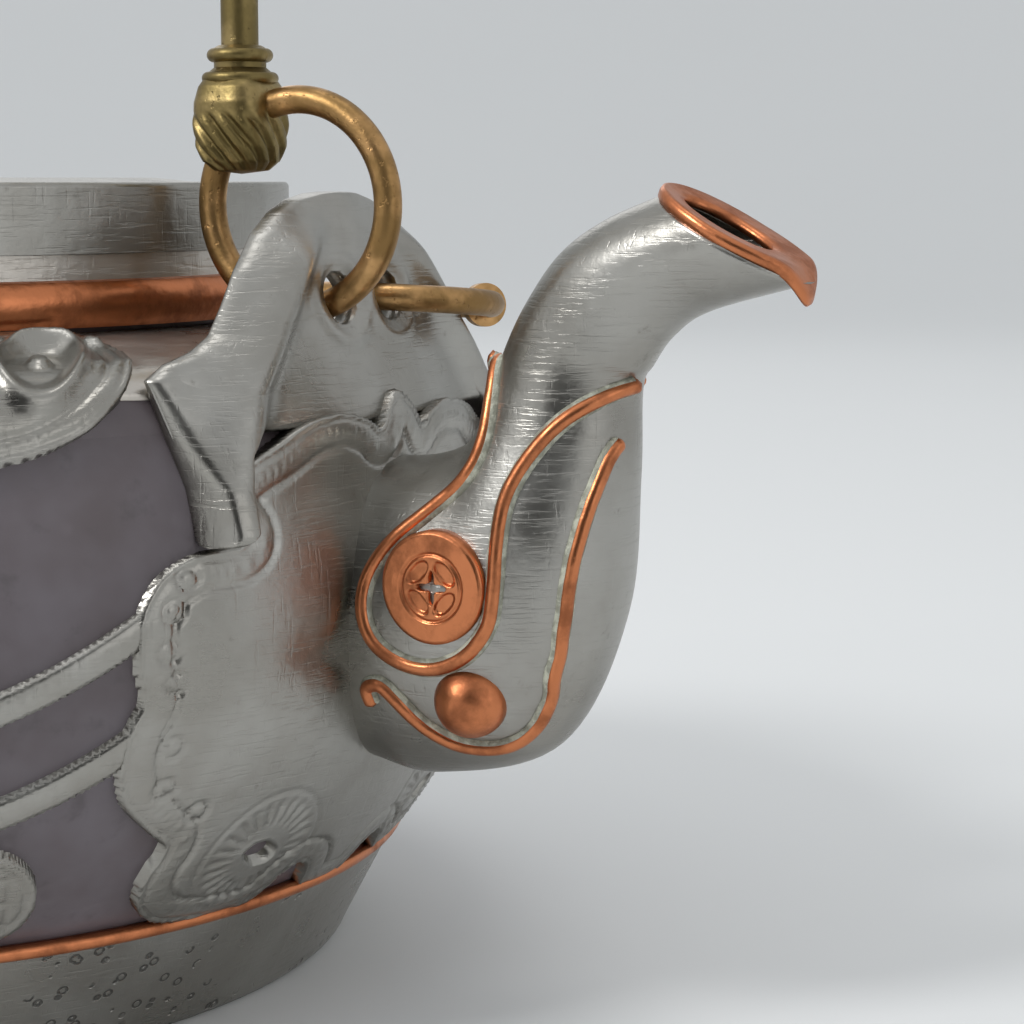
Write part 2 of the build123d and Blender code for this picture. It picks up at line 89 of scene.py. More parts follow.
# A lug's half width by height, and the inner side of its legs below the plate.
LUG_WIDTH = [
    (97.4, 0.6), (97.2, 4.0), (96.5, 8.0), (95.2, 11.6), (92.8, 15.4), (88.8, 19.6), (85.0, 22.6),
    (82.0, 25.2), (80.4, 28.0), (79.2, 31.6), (77.6, 33.8), (74.6, 33.2), (70.6, 32.5), (66.2, 31.9),
    (60.0, 32.2)]
LEG_INSIDE = [
    (79.0, 19.0), (73.0, 22.4), (71.4, 25.0), (69.6, 27.2), (66.0, 28.4), (61.6, 29.2), (60.0, 31.4)]
LUG_TOP, LUG_BOTTOM, LEG_TOP, LEG_FOOT = 97.4, 71.4, 79.0, 60.0
LUG_COLUMNS = 150
# Distance of a lug's face from the pot's axis, and of its ridges from its middle, by height.
LUG_FACE = [
    (58, 85.8), (60, 85.4), (64, 84.3), (68, 83.0), (72, 81.7), (76, 80.6), (79, 79.8), (83, 78.6),
    (89, 76.9), (94, 75.2), (98, 73.8)]
LUG_RIDGE = [(58, 30.6), (66, 29.8), (76, 25.0), (84, 18.2), (92, 11.0), (98, 4.0)]

# Spout sections: back x, back z, front x, front z, half width.
SPOUT = np.array([
    (81.5, 67.0, 81.5, 31.6, 12.6), (88.6, 67.6, 90.0, 30.6, 13.0), (93.2, 69.2, 104.2, 35.0, 12.8),
    (95.2, 71.4, 111.6, 49.5, 11.4), (96.6, 74.8, 113.4, 65.4, 9.2), (98.4, 80.4, 113.8, 75.6, 7.8),
    (101.2, 85.8, 115.2, 78.4, 7.5), (105.2, 91.0, 117.8, 81.8, 7.3), (110.4, 94.5, 122.4, 84.7, 7.2),
    (117.0, 97.2, 134.0, 87.9, 7.3)])
LOOP_WIRE = [
    (98.6, 79.6), (99.2, 75.0), (99.2, 70.0), (97.4, 66.0), (93.6, 62.6), (89.4, 59.0), (86.8, 55.0),
    (86.4, 51.0), (88.0, 47.6), (91.6, 45.6), (95.6, 45.4), (99.4, 47.2), (101.9, 50.6), (102.6, 55.0),
    (102.8, 60.0), (103.4, 64.6), (105.4, 68.8), (108.6, 72.8), (112.4, 75.6), (114.6, 76.8)]
THROAT_WIRE = [
    (113.2, 70.6), (112.4, 68.6), (111.2, 64.0), (110.0, 58.0), (108.9, 51.0), (107.4, 44.6), (105.4, 39.6),
    (101.8, 36.4), (97.0, 36.0), (93.0, 38.0), (90.2, 41.0), (88.2, 42.8), (86.4, 42.2), (86.8, 40.0)]
# The far side's wires lie this much further back.
FAR_WIRE_BACK = 3.0
SPOUT_WALL = 1.6
# Coin: its place on the side, x and z, and its radius.
COIN = (95.4, 54.4, 6.3)
# Lip plate: half length and width of its rim and hole, the hole's shift, and its section as (share, lift).
LIP_RIM, LIP_HOLE, LIP_HOLE_SHIFT = (10.0, 7.5), (5.6, 3.6), -1.6
LIP_SECTION = (
    (0.0, 0.0), (0.02, 0.9), (0.3, 1.05), (0.6, 1.1), (0.85, 1.25), (0.96, 1.1), (1.0, 0.6), (0.97, 0.0),
    (0.85, -0.25), (0.5, -0.1))

# Ring holes in the lugs, and the fists at the bail's ends with their half width by height.
HOLE_Y, HOLE_Z, HOLE_RADIUS = 5.2, 85.4, 3.0
FIST_X = 65.6
FIST_WIDTH = [
    (99.4, 0.0), (99.8, 2.9), (100.8, 4.1), (102.5, 4.8), (105, 5.1), (107.5, 5.0), (109.3, 4.5),
    (110.8, 3.5), (112.2, 0.0)]
FIST_BLUNTNESS = 3.2

# Straps: middle heights at the ends and at the dip of each pair, half span and half width.
STRAP_HEIGHTS = ((53.1, 41.7), (41.5, 30.5))
STRAP_SPAN, STRAP_RISE, STRAP_HALF = 35.5, 11.5, 1.75
MEDALLION_Z, MEDALLION_RADIUS = 23.4, 6.8
# Mask eyes as (sideways, run).
EYE_PLACE = (13.0, 31.5)
SKIRT_EDGE_Z, SKIRT_RUN, SKIRT_LIFT = 75.6, 25.0, 0.5

# Turns of the repeated ornaments round the pot, in degrees from the spout.
MASK_TURNS = {"front_right": -42, "front_left": 42, "rear_left": 138, "rear_right": -138}
MEDALLION_TURNS = {"front_right": -39, "front_left": 39, "rear_left": 141, "rear_right": -141}
SWAG_TURNS = {"front_right": -51, "front_left": 51, "rear_left": 129, "rear_right": -129}

# Camera, from the photograph's perspective: place, level heading, degrees downwards and lens.
CAMERA_AT = (231.9, -248.7, 98.7)
CAMERA_HEADING = (-0.4733, 0.8809)
CAMERA_DROP = 7.52
CAMERA_LENS = 88.4


class TeapotSizes(bpy.types.PropertyGroup):
    """Sizes a maker would change, in millimetres."""
    sheet: FloatProperty(name="Sheet", description="Thickness of the pewter sheet", default=1.3, min=0.5)
    wire: FloatProperty(name="Wire", description="Radius of the copper wire", default=0.85, min=0.3)
    border: FloatProperty(name="Border", description="Width of the engraved border", default=3.9, min=1.0)
    lug: FloatProperty(name="Lug", description="Thickness of the lug plates", default=3.0, min=1.0)


def colour_property(title, words, value):
    settings = {"subtype": "COLOR", "size": 3, "min": 0, "max": 1}
    return FloatVectorProperty(name=title, description=words, default=value, **settings)


class TeapotColours(bpy.types.PropertyGroup):
    """Base colours of the finishes."""
    clay: colour_property("Clay", "Burnished purple-grey clay", (0.120, 0.103, 0.106))
    pewter: colour_property("Pewter", "Aged grey sheet metal", (0.36, 0.352, 0.328))
    bright: colour_property("Rim", "Rubbed bright rim metal", (0.62, 0.585, 0.54))
    copper: colour_property("Copper", "Warm aged copper", (0.52, 0.185, 0.08))
    brass: colour_property("Brass", "Dark olive brass", (0.27, 0.20, 0.088))
    ring: colour_property("Ring", "Brown-gold ring wire", (0.40, 0.235, 0.10))
    floor: colour_property("Floor", "Pale floor and backdrop", (0.78, 0.79, 0.79))


# Shapes

def ease(value, start, end):
    """Smooth step from 0 at start to 1 at end."""
    t = np.clip((value - start) / (end - start), 0, 1)
    return t * t * (3 - 2 * t)


def bell(value, centre, width):
    """Gaussian bump of height one."""
    return np.exp(-((value - centre) / width) ** 2)


def circle_through(a, b, c):
    """Centre of the circle through three points, from the perpendicular bisectors."""
    a, b, c = np.array(a), np.array(b), np.array(c)
    matrix = 2 * np.array([b - a, c - a])
    return np.linalg.solve(matrix, np.array([b @ b - a @ a, c @ c - a @ a]))


def clay_profile():
    """The clay's side profile as run, radius, height: belly arc, shoulder arc and straight top."""
    low = np.arcsin((CLAY_LOWEST - BELLY_Z) / BELLY_ARC)
    high = np.arcsin((SHOULDER_START[1] - BELLY_Z) / BELLY_ARC)
    angle = np.linspace(low, high, BELLY_STEPS)
    belly = np.stack([BELLY_R + BELLY_ARC * np.cos(angle), BELLY_Z + BELLY_ARC * np.sin(angle)], 1)
    centre = circle_through(SHOULDER_START, SHOULDER_MID, SHOULDER_END)
    spoke = np.array(SHOULDER_START) - centre
    reach = np.linalg.norm(spoke)
    first = atan2(spoke[1], spoke[0])
    last = atan2(SHOULDER_END[1] - centre[1], SHOULDER_END[0] - centre[0])
    turn = np.linspace(first, last, SHOULDER_STEPS)[1:]
    shoulder = centre + reach * np.stack([np.cos(turn), np.sin(turn)], 1)
    t = np.linspace(0, 1, SHOULDER_STEPS)[1:, None]
    top = np.array(SHOULDER_END) * (1 - t) + np.array(NECK_FOOT) * t
    points = np.concatenate([belly, shoulder, top])
    run = np.concatenate([[0], np.cumsum(np.linalg.norm(np.diff(points, axis=0), axis=1))])
    return run - np.interp(BELLY_Z, belly[:, 1], run[:BELLY_STEPS]), points[:, 0], points[:, 1]


def clay_slope(run, radius, height, window=13):
    """The profile's outward lean in radians, averaged over a few points so that sheets bend softly."""
    lean = np.arctan2(-np.gradient(radius, run), np.gradient(height, run))
    return np.convolve(np.pad(lean, window // 2, mode="edge"), np.ones(window) / window, mode="valid")


RUN, RADIUS, HEIGHT = clay_profile()
SLOPE = clay_slope(RUN, RADIUS, HEIGHT)


def run_at(height):
    return np.interp(height, HEIGHT, RUN)


def read_at(height, table):
    """Value at a height, from (height, value) pairs in any order."""
    heights, values = np.array(sorted(table)).T
    return np.interp(height, heights, values)


def on_clay(sideways, run, lift, turn):
    """Points at a lift above the clay: sideways across, run along the profile, turn in degrees."""
    radius = np.interp(run, RUN, RADIUS)
    height = np.interp(run, RUN, HEIGHT)
    lean = np.interp(run, RUN, SLOPE)
    around = np.arcsin(np.clip(sideways / radius, -0.99, 0.99)) + radians(turn)
    out = radius + lift * np.cos(lean)
    return np.stack([out * np.cos(around), out * np.sin(around), height + lift * np.sin(lean)], -1)


def rounded(points, rounds=3):
    """Closed outline smoothed by corner cutting at a fifth of each side."""
    ring = np.array(points, float)
    for _ in range(rounds):
        after = np.roll(ring, -1, 0)
        ring = np.stack([ring * 0.8 + after * 0.2, ring * 0.2 + after * 0.8], 1).reshape(-1, 2)
    return ring


def both_sides(half):
    mirror = [(-u, v) for u, v in reversed(half) if u != 0]
    return half + mirror


def fence(u, v, ring):
    """Signed distance to a closed outline, negative inside, and the way along it to the nearest point."""
    nearest = np.full(u.shape, 1e9)
    along = np.zeros(u.shape)
    inside = np.zeros(u.shape, bool)
    walked = 0.0
    for a, b in zip(ring, np.roll(ring, -1, 0)):
        side = b - a
        length = np.hypot(*side)
        if length < 1e-6:
            continue
        t = np.clip(((u - a[0]) * side[0] + (v - a[1]) * side[1]) / length ** 2, 0, 1)
        gap = np.hypot(u - a[0] - t * side[0], v - a[1] - t * side[1])
        closer = gap < nearest
        along = np.where(closer, walked + t * length, along)
        nearest = np.minimum(nearest, gap)
        crosses = (a[1] > v) != (b[1] > v)
        rise = side[1] if side[1] != 0 else 1e-9
        inside ^= crosses & (u < a[0] + side[0] * (v - a[1]) / rise)
        walked += length
    return np.where(inside, -nearest, nearest), along


def grid_object(name, points, closed):
    """Object from a grid of points in millimetres, with its seams and poles merged, turned outwards."""
    rows, columns = points.shape[:2]
    index = np.arange(rows * columns).reshape(rows, columns)
    if closed[0]:
        index = np.vstack([index, index[:1]])
    if closed[1]:
        index = np.hstack([index, index[:, :1]])
    quads = np.stack([index[:-1, :-1], index[1:, :-1], index[1:, 1:], index[:-1, 1:]], -1).reshape(-1, 4)
    mesh = bpy.data.meshes.new(name)
    mesh.from_pydata((points.reshape(-1, 3) * MM).tolist(), [], quads.tolist())
    work = bmesh.new()
    work.from_mesh(mesh)
    bmesh.ops.remove_doubles(work, verts=work.verts, dist=1e-6)
    bmesh.ops.dissolve_degenerate(work, edges=work.edges, dist=1e-7)
    bmesh.ops.recalc_face_normals(work, faces=work.faces)
    if work.calc_volume(signed=True) < 0:
        bmesh.ops.reverse_faces(work, faces=work.faces)
    work.to_mesh(mesh)
    work.free()
    mesh.polygons.foreach_set("use_smooth", np.ones(len(mesh.polygons), bool))
    piece = bpy.data.objects.new(name, mesh)
    bpy.context.scene.collection.objects.link(piece)
    return piece


def put(name, points, body, slot, replaces=(), closed=(False, False)):
    """Adds a finished piece that rides a body and stands in for the nodes it replaces."""
    piece = grid_object(name, points, closed)
    piece.data.materials.append(finish_for(slot))
    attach(piece, body)
    if replaces:
        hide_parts(*replaces)
    return piece


def slab(name, front, back, replaces=()):
    """Closed pewter plate between two grids that share their rim."""
    back = back.copy()
    back[0], back[-1] = front[0], front[-1]
    back[:, 0], back[:, -1] = front[:, 0], front[:, -1]
    return put(name, np.concatenate([front, back[::-1]]), "pot", "pewter", replaces, closed=(True, False))


def relief(name, half_width, run_span, lift_of, turn, replaces):
    """A sheet over the clay whose lift is a function of place; where that is low the clay hides it."""
    columns = int(2 * half_width / SHEET_STEP)
    rows = int((run_span[1] - run_span[0]) / SHEET_STEP)
    u, v = np.meshgrid(np.linspace(-half_width, half_width, columns), np.linspace(*run_span, rows))
    lift = lift_of(u, v)
    front = on_clay(u, v, lift, turn)
    back = on_clay(u, v, np.full(u.shape, BURIED - 0.6), turn)
    return slab(name, front, back, replaces)


def sheet_lift(distance, along, thickness, border):
    """Height of a lobed sheet: soft cut edge, two engraved lines and a beaded line between them."""
    depth = -distance
    lift = BURIED + (thickness - BURIED) * ease(depth, -0.1, 0.22)
    lift -= 0.26 * bell(depth, 0.95, 0.22) + 0.42 * bell(depth, border, 0.26)
    beads = np.maximum(np.cos(2 * pi * along / 1.15), 0)
    lift += 0.16 * beads * bell(depth, border * 0.62, 0.42)
    return lift


def punches(u, v, places, radius=1.15):
    """Ring-shaped punch marks at the given places."""
    mark = np.zeros(u.shape)
    for side in (-1, 1):
        for x, z in places:
            gap = np.hypot(u - side * x, v - run_at(z))
            mark += 0.36 * bell(gap, radius, 0.22) - 0.08 * bell(gap, 0, radius * 0.5)
    return mark


def rays(u, v, x, z, inner, outer):
    """Fan of fine engraved rays round a point, on both sides."""
    mark = np.zeros(u.shape)
    for side in (-1, 1):
        du, dv = u - side * x, v - run_at(z)
        gap = np.hypot(du, dv)
        reach = ease(gap, inner, inner + 0.6) * ease(-gap, -outer, -outer + 1.2)
        mark += 0.26 * np.maximum(np.cos(24 * np.arctan2(dv, du)), 0) * reach
    return mark


def smooth_path(points, steps=8):
    """Curve through given points by the Catmull-Rom formula."""
    p = np.array(points, float)
    p = np.concatenate([[2 * p[0] - p[1]], p, [2 * p[-1] - p[-2]]])
    t = np.linspace(0, 1, steps, endpoint=False)[:, None]
    runs = []
    for a, b, c, d in zip(p, p[1:], p[2:], p[3:]):
        runs.append(0.5 * (2 * b + (c - a) * t + (2 * a - 5 * b + 4 * c - d) * t ** 2
                           + (3 * b - a - 3 * c + d) * t ** 3))
    return np.concatenate(runs + [p[-2:-1]])


def spout_surface(rings, sides, grow=0.0):
    """Ovals between the spout's back and front lines, blended along it by the Catmull-Rom formula."""
    table = smooth_path(SPOUT, rings)
    middle = (table[:, 0:2] + table[:, 2:4]) / 2
    reach = (table[:, 2:4] - table[:, 0:2]) / 2
    length = np.linalg.norm(reach, axis=1, keepdims=True)
    reach = reach * (1 + grow / length)
    wide = table[:, 4] + grow
    angle = np.linspace(0, 2 * pi, sides, endpoint=False)
    x = middle[:, 0, None] + reach[:, 0, None] * np.cos(angle)
    z = middle[:, 1, None] + reach[:, 1, None] * np.cos(angle)
    return np.stack([x, wide[:, None] * np.sin(angle), z], -1)


def spout_side(path):
    """Lays side-view points onto the left face of the spout; gives points and outward directions."""
    left_face = slice(4, 117)
    skin = spout_surface(24, 240)[:, left_face]
    across = np.gradient(skin, axis=1)
    down = np.gradient(skin, axis=0)
    out = np.cross(across, down)
    out /= np.linalg.norm(out, axis=2, keepdims=True) + 1e-9
    out *= np.where(out[..., 1:2] < 0, -1, 1)
    flat, out = skin.reshape(-1, 3), out.reshape(-1, 3)
    gap = np.hypot(path[:, None, 0] - flat[None, :, 0], path[:, None, 1] - flat[None, :, 2])
    nearest = gap.argmin(1)
    points = np.stack([path[:, 0], flat[nearest, 1], path[:, 1]], -1)
    for _ in range(2):
        points[1:-1] = (points[:-2] + points[1:-1] * 2 + points[2:]) / 4
    return points, out[nearest]


def tube(path, out, radius, sides=12):
    """Round wire along a path, with rounded ends that close to a point."""
    way = np.gradient(path, axis=0)
    way /= np.linalg.norm(way, axis=1, keepdims=True)
    side = np.cross(way, out)
    side /= np.linalg.norm(side, axis=1, keepdims=True)
    up = np.cross(side, way)
    size = np.full(len(path), radius)
    size[[0, -1]] = 0
    size[[1, -2]] = radius * 0.75
    angle = np.linspace(0, 2 * pi, sides, endpoint=False)
    ring = up[:, None] * np.cos(angle)[:, None] + side[:, None] * np.sin(angle)[:, None]
    return path[:, None] + ring * size[:, None, None]


def flip_y(points):
    return points * np.array([1, -1, 1])


# Finishes

class Value:
    """A shader value or colour; arithmetic on it adds Math nodes."""

    def __init__(self, finish, socket):
        self.finish, self.socket = finish, socket

    def maths(self, operation, first, second=0.0):
        return self.finish.node("Math", {"operation": operation}, {0: first, 1: second})

    def __add__(self, other):
        return self.maths("ADD", self, other)

    def __sub__(self, other):
        return self.maths("SUBTRACT", self, other)

    def __rsub__(self, other):
        return self.maths("SUBTRACT", other, self)

    def __mul__(self, other):
        return self.maths("MULTIPLY", self, other)

    __radd__ = __add__
    __rmul__ = __mul__

    def away_from(self, other):
        return self.maths("ABSOLUTE", self - other)

    def step(self, low, high):
        """Smooth step between two values."""
        settings = {"interpolation_type": "SMOOTHSTEP"}
        return self.finish.node("MapRange", settings, {"Value": self, "From Min": low, "From Max": high})


class Finish:
    """One material built around a Principled shader."""

    def __init__(self, name, metallic, coat=0.0):
        self.material = bpy.data.materials.new(name)
        self.material.use_nodes = True
        self.tree = self.material.node_tree
        self.tree.nodes.clear()
        self.shader = self.tree.nodes.new("ShaderNodeBsdfPrincipled")
        output = self.tree.nodes.new("ShaderNodeOutputMaterial")
        self.tree.links.new(self.shader.outputs["BSDF"], output.inputs["Surface"])
        self.shader.inputs["Metallic"].default_value = metallic
        self.shader.inputs["Coat Weight"].default_value = coat
        self.shader.inputs["Coat Roughness"].default_value = 0.25
        self.place = self.node("TexCoord", {}, {}, "Object")

    def node(self, kind, settings, values, output=0):
        """Adds a node, sets its settings and then its sockets, and returns one output."""
        node = self.tree.nodes.new("ShaderNode" + kind)
        for key, value in settings.items():
            setattr(node, key, value)
        for key, value in values.items():
            self.feed(node.inputs[key], value)
        return Value(self, node.outputs[output])

    def feed(self, socket, value):
        if isinstance(value, Value):
            self.tree.links.new(value.socket, socket)
        else:
            socket.default_value = value

    def noise(self, size_mm, detail=3.0, stretch=(1, 1, 1), rough=0.55):
        """Noise whose features are about size_mm across, stretched along chosen axes."""
        place = self.node("Mapping", {}, {"Vector": self.place, "Scale": stretch})
        values = {"Vector": place, "Scale": 1000 / size_mm, "Detail": detail, "Roughness": rough}
        return self.node("TexNoise", {}, values)

    def rings(self, size_mm, radius):
        """Scattered ring marks: 1 on the ring, 0 elsewhere."""
        cell = self.node("TexVoronoi", {}, {"Vector": self.place, "Scale": 1000 / size_mm})
        return 1 - cell.away_from(radius).step(0.03, 0.09)

    def mix(self, amount, first, second):
        return self.node("Mix", {"data_type": "RGBA"}, {0: amount, 6: rgba(first), 7: rgba(second)}, 2)

    def close(self, colour, roughness, height, depth_mm):
        """Links colour, roughness and a bump of the given depth to the shader."""
        self.feed(self.shader.inputs["Base Color"], colour)
        self.feed(self.shader.inputs["Roughness"], roughness)
        bump = self.node("Bump", {}, {"Height": height, "Strength": 1.0, "Distance": depth_mm * MM})
        self.feed(self.shader.inputs["Normal"], bump)
        return self.material


def rgba(colour):
    if isinstance(colour, Value):
        return colour
    return (*colour[:3], 1.0)


def shade(colour, factor, tint=(1, 1, 1)):
    return tuple(min(1.0, c * factor * t) for c, t in zip(colour, tint))


def clay_finish(colours):
    """Burnished clay with cloudy blotches, dark specks and faint ring stains."""
    look = Finish("finish_clay", 0.0, coat=0.18)
    cloud = look.noise(26, 4).step(0.38, 0.64)
    fine = look.noise(1.6, 4)
    stain = look.rings(6, 0.24) * look.noise(24, 2).step(0.52, 0.6)
    warm, cool = (1.06, 0.96, 1.0), (0.97, 0.98, 1.06)
    base = look.mix(cloud, shade(colours.clay, 0.78, warm), shade(colours.clay, 1.3, cool))
    base = look.mix(look.noise(5, 5).step(0.56, 0.72) * 0.5, base, shade(colours.clay, 0.55))
    base = look.mix(stain * 0.3, base, shade(colours.clay, 1.5, (1.0, 0.98, 1.05)))
    rough = 0.36 + fine * 0.12 + cloud * 0.1
    return look.close(base, rough, fine * 0.5 + look.noise(9, 2) * 0.8, 0.12)


def pewter_finish(name, tone, metallic=1.0, punched=False):
    """Satin sheet metal: warm and cool patches, hairline scratches, dents and dark pits."""
    look = Finish(name, metallic)
    patch = look.noise(17, 4).step(0.35, 0.68)
    hair = look.noise(5, 3, (1.0, 1.0, 14.0)).step(0.52, 0.66)
    cross = look.noise(6, 3, (9.0, 9.0, 1.0)).step(0.58, 0.7)
    grime = look.noise(3.2, 6, rough=0.7).step(0.60, 0.78)
    base = look.mix(patch, shade(tone, 0.86, (1.02, 1.0, 0.97)), shade(tone, 1.14))
    base = look.mix(grime * 0.55, base, shade(tone, 0.52, (1.02, 1.0, 0.94)))
    rough = 0.27 + patch * 0.1 + grime * 0.18 + hair * 0.06
    height = look.noise(9, 2) * 0.7 + look.noise(1.3, 4) * 0.3 - hair * 0.1 - cross * 0.08
    if punched:
        marks = look.rings(2.2, 0.24) * look.noise(12, 2).step(0.46, 0.5)
        height = height - marks * 2.0
        base = look.mix(marks * 0.7, base, shade(tone, 0.3))
    return look.close(base, rough, height, 0.16)


def copper_finish(colours):
    """Aged copper with brown tarnish and brighter rubbed places."""
    look = Finish("finish_copper", 1.0)
    tarnish = look.noise(6, 5, rough=0.65).step(0.45, 0.7)
    brown = shade(colours.copper, 0.5, (0.9, 0.9, 0.95))
    base = look.mix(tarnish * 0.65, shade(colours.copper, 1.15), brown)
    rough = 0.3 + tarnish * 0.22
    return look.close(base, rough, look.noise(2.2, 4) * 0.7 + look.noise(8, 2), 0.14)


def brass_finish(name, colour):
    """Dark brass, rubbed to gold on some runs, with fine pits."""
    look = Finish(name, 1.0)
    wear = look.noise(7, 4, rough=0.6).step(0.42, 0.66)
    pits = look.noise(0.8, 4).step(0.6, 0.75)
    base = look.mix(wear, shade(colour, 0.72, (0.98, 1.0, 0.9)), shade(colour, 1.35))
    base = look.mix(pits * 0.4, base, shade(colour, 0.4))
    return look.close(base, 0.44 - wear * 0.14 + pits * 0.15, look.noise(1.8, 4) - pits * 0.5, 0.1)


def solder_finish():
    """Pale greenish residue beside the let-in wires."""
    look = Finish("finish_solder", 0.3)
    spots = look.noise(1.4, 4).step(0.4, 0.65)
    base = look.mix(spots, (0.30, 0.30, 0.24), (0.55, 0.56, 0.46))
    return look.close(base, 0.6 + spots * 0.1, spots, 0.1)


def finish_for(slot):
    """The finish of a material slot, made once."""
    name = "finish_" + slot
    if name in bpy.data.materials:
        return bpy.data.materials[name]
    colours = bpy.context.scene.teapot_colours
    makers = {
        "clay": lambda: clay_finish(colours),
        "pewter": lambda: pewter_finish(name, colours.pewter),
        "punched": lambda: pewter_finish(name, colours.pewter, punched=True),
        "bright_pewter": lambda: pewter_finish(name, colours.bright, metallic=0.85),
        "copper": lambda: copper_finish(colours),
        "brass": lambda: brass_finish(name, colours.brass),
        "ring_brass": lambda: brass_finish(name, colours.ring),
        "solder": solder_finish,
    }
    return makers[slot]()


# Operators

class TEAPOT_OT_stage(bpy.types.Operator):
    """Lays the floor and backdrop, lights them softly and sets the camera"""
    bl_idname = "teapot.stage"
    bl_label = "Stage"

    def execute(self, context):
        scene = context.scene
        scene.view_settings.view_transform = "Standard"
        self.sweep(scene)
        self.screen()
        self.lamps(scene)
        self.camera(scene)
        return {"FINISHED"}

    def sweep(self, scene):
        """Floor that curves up into a backdrop; its profile is a line, a quarter circle and a line."""
        near, far, bend, top = 2.0, 4.6, 3.2, 5.5
        angle = np.linspace(0, pi / 2, 24)
        curve = np.stack([far - bend + bend * np.sin(angle), bend - bend * np.cos(angle)], 1)
        profile = np.concatenate([[[-near, 0]], curve, [[far, top]]])
        across = np.linspace(-6.0, 6.0, 2)
        heading = np.array(CAMERA_HEADING)
        side = np.array([heading[1], -heading[0]])
        flat = profile[:, None, :1] * heading + across[None, :, None] * side
        points = np.concatenate([flat, np.repeat(profile[:, None, 1:], 2, 1)], 2)
        mesh = bpy.data.meshes.new("sweep")
        index = np.arange(len(profile) * 2).reshape(-1, 2)
        quads = np.stack([index[:-1, 0], index[:-1, 1], index[1:, 1], index[1:, 0]], 1)
        mesh.from_pydata(points.reshape(-1, 3).tolist(), [], quads.tolist())
        mesh.polygons.foreach_set("use_smooth", np.ones(len(mesh.polygons), bool))
        floor = bpy.data.objects.new("sweep", mesh)
        scene.collection.objects.link(floor)
        look = Finish("stage_paper", 0.0)
        tone = scene.teapot_colours.floor
        grain = look.noise(400, 2)
        floor.data.materials.append(look.close(look.mix(grain, tone, shade(tone, 1.02)), 0.7, grain, 0.01))

    def screen(self):
        """Dark screen behind the camera, so that the metal has something dark to mirror."""
        heading = np.array(CAMERA_HEADING)
        side = np.array([heading[1], -heading[0]])
        middle = np.array(CAMERA_AT[:2]) * MM - heading * 0.25
        left, right, low, high = -0.35, 0.22, 0.02, 0.5
        frame_points = ((left, low), (right, low), (right, high), (left, high))
        corners = [(*(middle + side * x), z) for x, z in frame_points]
        mesh = bpy.data.meshes.new("dark_screen")
        mesh.from_pydata(corners, [], [(0, 1, 2, 3)])
        screen = bpy.data.objects.new("dark_screen", mesh)
        bpy.context.scene.collection.objects.link(screen)
        look = Finish("dark_cloth", 0.0)
        grain = look.noise(300, 2)
        cloth = look.mix(grain, (0.02, 0.02, 0.022), (0.03, 0.03, 0.03))
        screen.data.materials.append(look.close(cloth, 0.9, grain, 0.01))

    def lamps(self, scene):
        world = bpy.data.worlds.new("studio")
        scene.world = world
        world.use_nodes = True
        world.node_tree.nodes["Background"].inputs["Color"].default_value = (0.80, 0.82, 0.84, 1)
        world.node_tree.nodes["Background"].inputs["Strength"].default_value = 0.86
        rigs = (("key", (-0.35, -0.75, 0.75), 0.3, 5.5), ("top", (0.0, 0.0, 1.3), 0.5, 1.6),
                ("fill", (1.1, -0.3, 0.35), 0.6, 0.5), ("back", (-0.6, 0.9, 0.7), 0.6, 0.8))
        for name, place, size, power in rigs:
            light = bpy.data.lights.new(name, "AREA")
            light.shape, light.size, light.energy = "DISK", size, power
            lamp = bpy.data.objects.new(name, light)
            lamp.location = place
            aim = Vector((0.03, 0, 0.06)) - Vector(place)
            lamp.rotation_euler = aim.to_track_quat("-Z", "Y").to_euler()
            scene.collection.objects.link(lamp)

    def camera(self, scene):
        lens = bpy.data.cameras.new("camera")
        lens.lens, lens.sensor_width, lens.clip_start = CAMERA_LENS, 36.0, 0.01
        camera = bpy.data.objects.new("camera", lens)
        camera.location = Vector(CAMERA_AT) * MM
        drop = np.tan(radians(CAMERA_DROP))
        way = Vector((CAMERA_HEADING[0], CAMERA_HEADING[1], -drop))
        camera.rotation_euler = way.to_track_quat("-Z", "Y").to_euler()
        scene.collection.objects.link(camera)
        scene.camera = camera


class TEAPOT_OT_finishes(bpy.types.Operator):
    """Gives every carried-over piece its finish"""
    bl_idname = "teapot.finishes"
    bl_label = "Finishes"

    def execute(self, context):
        slots = {entry["node"]: entry["material_slot"] for entry in frame["record"]["subparts"]}
        for name, piece in frame["nodes"].items():
            slot = "punched" if name == "base_band" else slots[name]
            piece.data.materials.clear()
            piece.data.materials.append(finish_for(slot))
        return {"FINISHED"}


